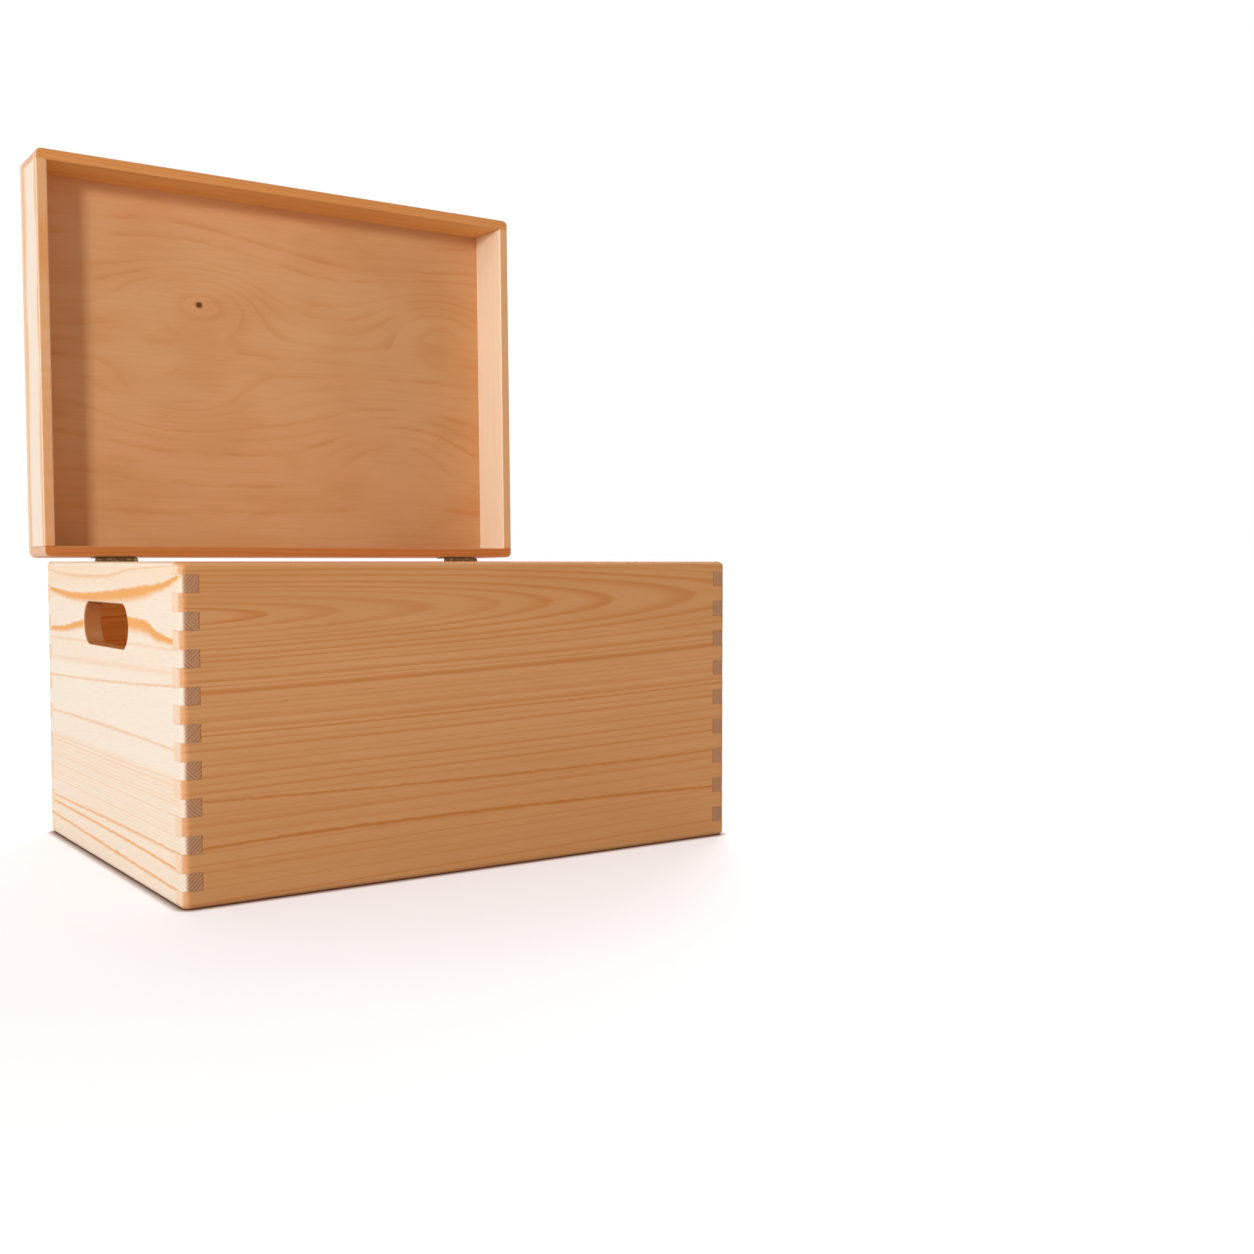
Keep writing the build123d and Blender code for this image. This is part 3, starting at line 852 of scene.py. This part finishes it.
class Garden:
    """Plants of the border. The green parts lie under all the blossoms."""

    def __init__(self, seed):
        self.greens = Print("print_greenery", inks(GREENS, vein=0.15, veins=6.0))
        self.blooms = Print("print_blossoms", inks(BLOOMS))
        self.random = random.Random(seed)
        self.between = self.random.uniform

    def vary(self, value, share=0.15):
        return value * self.between(1 - share, 1 + share)

    def stem(self, foot, top, sway, width=1.5):
        lean, rise = top[0] - foot, top[1] - GROUND
        points = [(foot, GROUND), (foot + 0.3 * lean + sway, GROUND + 0.4 * rise)]
        points += [(foot + 0.75 * lean + 0.6 * sway, GROUND + 0.75 * rise), top]
        return self.greens.stroke("stem", points, width, profile=lambda f: 1.2 - 0.5 * f)

    def leaf(self, line, share, side, length, width, ink="leaf", spread=38, bend=18):
        """A leaf on a stem's line."""
        at = min(int(share * (len(line) - 1)), len(line) - 2)
        ahead = line[at + 1] - line[at]
        root = line[at] + (share * (len(line) - 1) - at) * ahead
        angle = math.degrees(math.atan2(ahead.x, ahead.y)) + side * self.vary(spread)
        self.greens.petal(ink, root, angle, length, width, belly=0.42, tip=0.04, bend=side * bend)

    def blade(self, foot, length, lean, width=3.0):
        """A blade of grass from the edge of the lid."""
        side = polar(length, lean)
        middle = (foot + 0.25 * side.x, GROUND + 0.5 * side.y)
        points = [(foot, GROUND), middle, (foot + side.x, GROUND + side.y)]
        ink = self.random.choice(("leaf", "stem", "young"))
        self.greens.stroke(ink, points, width, 10, lambda f: (1 - f) ** 0.6 * 0.97 + 0.03)

    def daisy(self, top, radius, ink, squash, lie, count=14):
        """An open flower with two rounds of petals."""
        for ring, reach in enumerate((1.0, 0.78)):
            for n in (*range(0, count, 2), *range(1, count, 2)):
                angle = 360 * (n + 0.5 * ring) / count + self.between(-4, 4)
                root = Vector(top) + polar(0.16 * radius, angle)
                self.blooms.petal(
                    ink, root, angle, self.vary(radius * reach, 0.06) - 0.16 * radius,
                    2.6 * math.pi * radius * reach / count, belly=0.66, tip=0.5, notch=0.07,
                    squash=squash, lie=lie,
                )
        self.heart(top, 0.27 * radius, "gold", "yellow", squash, lie)

    def heart(self, top, radius, ink, dots, squash, lie):
        """The middle of a flower: a disc in a ring of anthers."""
        self.blooms.disc(ink, top, radius, squash, lie, 0.05)
        for n in range(9):
            spot = Vector(top) + polar(radius * 1.05, 40 * n + 8) * (0.9 if n % 2 else 1.08)
            self.blooms.disc(dots, spot, radius * 0.13)

    def poppy(self, top, radius, ink, squash, lie):
        """An open poppy: four broad crumpled petals round a dark middle."""
        for angle in (0, 180, 90, 270):
            self.blooms.petal(
                ink, top, angle + lie + self.between(-8, 8), self.vary(radius, 0.06), 1.75 * radius,
                belly=0.72, tip=0.72, ripple=0.03, squash=squash, lie=lie,
            )
        for n in range(16):
            angle = 22.5 * n + lie
            reach = 0.42 if n % 2 else 0.34
            line = [Vector(top) + polar(0.1 * radius, angle), Vector(top) + polar(reach * radius, angle)]
            self.blooms.stroke("ebony", line, 0.5, 3)
            self.blooms.disc("ebony", line[1], 0.045 * radius)
        self.heart(top, 0.15 * radius, "ebony", "gold", squash, lie)

    def tulip(self, top, size, ink, lean):
        """A cup of five petals seen from the side, in a green cup of its own."""
        for angle, reach in ((-30, 0.92), (30, 0.92), (-13, 1.0), (14, 0.97), (0, 0.86)):
            self.blooms.petal(
                ink, top, lean + self.vary(angle, 0.1), size * reach, 0.52 * size,
                belly=0.55, tip=0.12, bend=-0.55 * angle,
            )
        for angle in (-34, 34, 0):
            self.blooms.petal("sepal", top, lean + angle, 0.24 * size, 0.16 * size, belly=0.4, tip=0.05)

    def bells(self, line, ink):
        """Bells that hang from an arching stem."""
        count = 6
        for n in range(count):
            share = 0.5 + 0.5 * (n + 0.5) / count
            side = 1 if n % 2 else -1
            at = line[int(share * (len(line) - 1))]
            hook = [at, at + Vector((side * 4, 1.5)), at + Vector((side * 7, -2.5))]
            self.greens.stroke("stem", hook, 0.8, 6)
            size = 13.5 - 1.1 * n
            for angle in (-15, 15, 0):
                self.blooms.petal(
                    ink, hook[-1], 180 + 8 * side + angle, size, 0.5 * size, belly=0.5, tip=0.15,
                    bend=0.9 * angle,
                )

    def spike(self, line, ink):
        """Whorls of small buds up the end of a stem."""
        reach, whorls = 0.36, 9
        for n in range(whorls):
            share = 1 - reach + reach * n / (whorls - 1)
            at = point_along(line, share) + Vector((0, 2.6 * ((n * 7) % 3 - 1)))
            size = 6.5 - 0.4 * n
            for k, angle in enumerate((-62, 62, -24, 24, 0)):
                tone = ink if (n + k) % 3 else "periwinkle"
                self.blooms.petal(tone, at, angle + self.between(-9, 9), size, 0.5 * size, tip=0.3)

    def cluster(self, top, ink, reach):
        """Small five-petalled flowers on stalks that fan out from the end of a stem."""
        count, spread, size = 7, 62, 4.4
        for n in range(count):
            angle = spread * (2 * n / (count - 1) - 1) + self.between(-6, 6)
            end = Vector(top) + polar(self.vary(reach), angle)
            knee = Vector(top) + polar(0.5 * reach, 0.6 * angle)
            self.greens.stroke("stem", [top, knee, end], 0.7, 6)
            for k in (0, 2, 4, 1, 3):
                self.blooms.petal(ink, end, 72 * k + 20 * n, size, 0.8 * size, tip=0.5)
            self.blooms.disc("gold", end, 0.24 * size)

    def berries(self, line, ink):
        """Round berries on short stalks beside a stem."""
        for n in range(8):
            at = point_along(line, 0.42 + 0.58 * n / 7)
            side = 1 if n % 2 else -1
            end = at + Vector((side * self.vary(6.5), self.vary(3.5)))
            self.greens.stroke("stem", [at, at + Vector((side * 3, 0.8)), end], 0.7, 5)
            self.blooms.disc(ink, end, self.vary(2.5), 0.95, 30 * n)
            self.blooms.disc("cream", end + Vector((-0.7, 0.8)), 0.5)

    def fern(self, line, ink):
        """Leaflets in pairs that shorten towards the tip."""
        pairs = 13
        for n in range(pairs):
            share = 0.16 + 0.8 * n / (pairs - 1)
            length = 15 * (1 - 0.78 * share)
            for side in (-1, 1):
                self.leaf(line, share, side, length, 0.27 * length + 0.6, ink, 54, 10)

    def plant(self, number, kind, x, rise, ink, size=0):
        """One tall plant with its leaves."""
        foot = 0.97 * x + self.between(-6, 6)
        x = max(size + 1 - FACE_EDGE_X, min(FACE_EDGE_X - size - 1, x))
        top = (x, GROUND + rise)
        line = self.stem(foot, top, self.between(-5, 5))
        for n in range(0 if kind == "fern" else 2 + rise // 40):
            length = self.vary(24 if kind in ("tulip", "poppy", "daisy") else 16)
            self.leaf(line, 0.1 + 0.2 * n, 1 if (n + number) % 2 else -1, length, self.vary(0.22 * length))
        lie = self.between(-35, 35)
        if kind == "daisy":
            self.daisy(top, size, ink, self.between(0.78, 1.0), lie)
        elif kind == "poppy":
            self.poppy(top, size, ink, self.between(0.75, 0.9), lie)
        elif kind == "tulip":
            self.tulip(top, size, ink, 0.3 * lie)
        elif kind == "cluster":
            self.cluster(top, ink, size)
        else:
            along_stem = dict(fern=self.fern, bells=self.bells, spike=self.spike, berries=self.berries)
            along_stem[kind](line, ink)


# From left to right, tallest at the two ends: plant, place, height, ink and size.
BORDER = (
    ("fern", -188, 112, "young"), ("tulip", -176, 128, "coral", 31), ("daisy", -161, 95, "pink", 22),
    ("bells", -152, 139, "blue"), ("cluster", -139, 108, "yellow", 20), ("poppy", -127, 66, "red", 19),
    ("spike", -117, 130, "violet"), ("daisy", -104, 101, "cream", 16), ("tulip", -91, 68, "magenta", 27),
    ("cluster", -79, 52, "orange", 17), ("daisy", -67, 92, "blue", 17), ("spike", -53, 84, "violet"),
    ("berries", -41, 90, "red"), ("daisy", -29, 50, "periwinkle", 15), ("tulip", -14, 71, "orange", 24),
    ("fern", -2, 88, "leaf"), ("daisy", 13, 58, "pink", 18), ("bells", 24, 98, "periwinkle"),
    ("poppy", 41, 79, "coral", 17), ("cluster", 55, 48, "yellow", 17), ("spike", 66, 104, "violet"),
    ("daisy", 80, 71, "magenta", 20), ("tulip", 95, 98, "yellow", 27), ("berries", 107, 84, "red"),
    ("daisy", 120, 47, "blue", 15), ("bells", 128, 131, "blue"), ("poppy", 146, 97, "orange", 22),
    ("cluster", 156, 62, "orange", 17), ("daisy", 170, 130, "cream", 19), ("tulip", 181, 57, "red", 24),
    ("spike", 190, 104, "violet"),
)
BLADES, LOW_PLANTS = 46, 22  # of grass, and of small flowers between the tall ones
BLADE_REACH, LOW_REACH = FACE_EDGE_X - 4, 182  # how far either way from the middle they grow
LOW_INKS = ("red", "pink", "yellow", "periwinkle", "magenta", "orange", "coral", "cream")


def draw_border():
    garden = Garden(7)
    for number, plant in enumerate(BORDER):
        garden.plant(number, *plant)
    for number in range(BLADES):
        foot = -BLADE_REACH + 2 * BLADE_REACH * (number + garden.random.random()) / BLADES
        lean = garden.between(-24, 24)
        garden.blade(foot, garden.between(22, 62), lean, garden.between(1.8, 3.6))
    for number in range(LOW_PLANTS):
        x = -LOW_REACH + 2 * LOW_REACH * number / (LOW_PLANTS - 1) + garden.between(-5, 5)
        top = (x, GROUND + garden.between(14, 36))
        line = garden.stem(x + garden.between(-4, 4), top, garden.between(-3, 3), 1.0)
        side = 1 if number % 2 else -1
        garden.leaf(line, 0.3, side, 13, 3.4, "young")
        garden.leaf(line, 0.55, -side, 10, 2.6)
        radius, ink = garden.between(4.5, 7.5), LOW_INKS[number % len(LOW_INKS)]
        if number % 3 == 0:
            garden.tulip(top, 2.0 * radius, ink, garden.between(-15, 15))
        else:
            garden.daisy(top, radius, ink, 0.85, 30 * number, 6)
    garden.greens.finish()
    garden.blooms.finish()


def pen_pressure(share):
    return 0.38 + 0.62 * math.sin(math.pi * min(1.0, share / 0.9)) ** 1.5


def draw_ornament():
    """A heart of two scrolls whose ends cross and run out into a flourish, over a row of dots."""
    sheet = Print("print_heart", inks(ORNAMENT, vein=0.06, veins=3.0, rim=0.0))
    middle = Vector((-7.0, 4.0))
    tail = (
        (-51, 58), (-34, 35), (-14, 18), (8, 4), (34, -6), (60, -4), (79, 7), (84, 21), (77, 29), (69, 25),
        (71, 18),
    )
    scroll = []
    for n in range(16):
        turn = n / 15  # from the inner end of the scroll to its outer side
        scroll.append(Vector((-27, 80)) + polar(9 + 20 * turn**1.3, 360 - 450 * turn))
    for side in (-1, 1):
        points = [middle + Vector((-side * x, y)) for x, y in (*scroll, *tail)]
        line = sheet.stroke("crimson", points, width=10.5, count=110, profile=pen_pressure)
        for end in (line[0], line[-1]):
            sheet.disc("crimson", end, 3.8)
    for n in range(-3, 4):
        sheet.disc("crimson", middle + Vector((13 * n, -22)), 3.0 if n == 0 else 2.0)
    sheet.finish()


draw_border()
draw_ornament()


# --- Light and floor ---
def camera_sees(t):
    """1 on rays that show the background itself, straight or in a gloss."""
    rays = t.node("LightPath", {}, None).outputs
    seen = t.math("MAXIMUM", rays["Is Camera Ray"], rays["Is Glossy Ray"])
    return t.math("MAXIMUM", seen, rays["Is Transmission Ray"])


AMBIENT = 0.27  # light from all round
SKY = 1.0  # light from SKY_FROM, falling off to nothing at right angles to it
SKY_FROM = Vector((0.35, 0.75, 0.56)).normalized()
MIDDLE = Vector((0.0, 0.0, 0.2))  # of the open box, where the lamps point
FLOOR_SIDE = 80.0
NEAR_GLOW = 0.53  # how far the floor shines by itself, under the box and at the horizon
FAR_GLOW = 0.80


def make_world():
    """An even light all round and a soft broad one from above and behind, on a white backdrop."""
    world = bpy.data.worlds.new("studio")
    t = Tree(world)
    toward = t.vector("DOT_PRODUCT", t.node("TexCoord", {}, "Generated"), SKY_FROM)
    sky = t.math("POWER", t.math("MAXIMUM", toward, 0.0), 2.0)
    level = t.times_add(sky, SKY, AMBIENT)
    ambient = t.node("Background", {"Color": (1.0, 0.92, 0.79), "Strength": level})
    white = t.node("Background", {"Color": (1, 1, 1), "Strength": 1.0})
    shown = t.node("MixShader", {0: camera_sees(t), 1: ambient, 2: white})
    t.node("OutputWorld", {"Surface": shown}, None)
    bpy.context.scene.world = world


def make_floor():
    """A white floor that keeps the box's shadow, with a painted contact shadow for the dark line under its
    edges and painted warm shade round the box.
    """
    t = Finish("floor_white")
    away = t.vector("LENGTH", t.node("TexCoord", {}, "Object"))
    glow = t.smooth(away, 0.8, 7.0, NEAR_GLOW, FAR_GLOW)
    # Painted shadow: ambient occlusion darkens and warms the floor's colour and its glow near the box.
    wide = t.node("AmbientOcclusion", {"Distance": 0.25}, "AO")
    tight = t.math("POWER", t.node("AmbientOcclusion", {"Distance": 0.006}, "AO"), 2.0)
    t.shade(t.mix(tight, (0.16, 0.06, 0.02), (0.57, 0.555, 0.60)), 0.7, 0.2)
    strength = t.times(camera_sees(t), t.times(glow, tight))
    tone = t.mix(tight, (1.0, 0.66, 0.50), t.mix(wide, (1.0, 0.91, 0.90), (1, 1, 1)))
    shine = t.node("Emission", {"Color": tone, "Strength": strength})
    t.feed(t.output.inputs["Surface"], t.node("AddShader", {0: t.bsdf.outputs[0], 1: shine}))
    bpy.ops.mesh.primitive_plane_add(size=FLOOR_SIDE)
    floor = bpy.context.object
    floor.name = "floor"
    floor.data.materials.append(t.material)


def area_light(name, place, size, level, colour):
    """A square lamp that lights a matt white face turned to it in the middle to that level."""
    data = bpy.data.lights.new(name, "AREA")
    data.size = size
    data.color = colour
    away = Vector(place) - MIDDLE
    data.energy = level * math.pi**2 * away.length_squared
    lamp = put(name, data)
    lamp.location = place
    lamp.rotation_euler = away.to_track_quat("Z", "Y").to_euler()


# name, place, size, level, colour
LAMPS = (
    ("key", (-3.2, -0.35, 1.0), 1.1, 0.25, (1.0, 1.0, 1.0)),
    ("fill", (-2.5, -2.35, 1.0), 0.45, 0.385, (1.0, 1.0, 0.99)),
    ("back", (2.3, 2.4, 1.9), 2.2, 0.45, (1.0, 0.99, 0.98)),
)
make_camera()
make_world()
make_floor()
for lamp in LAMPS:
    area_light(*lamp)
bpy.context.scene.view_settings.view_transform = "Standard"
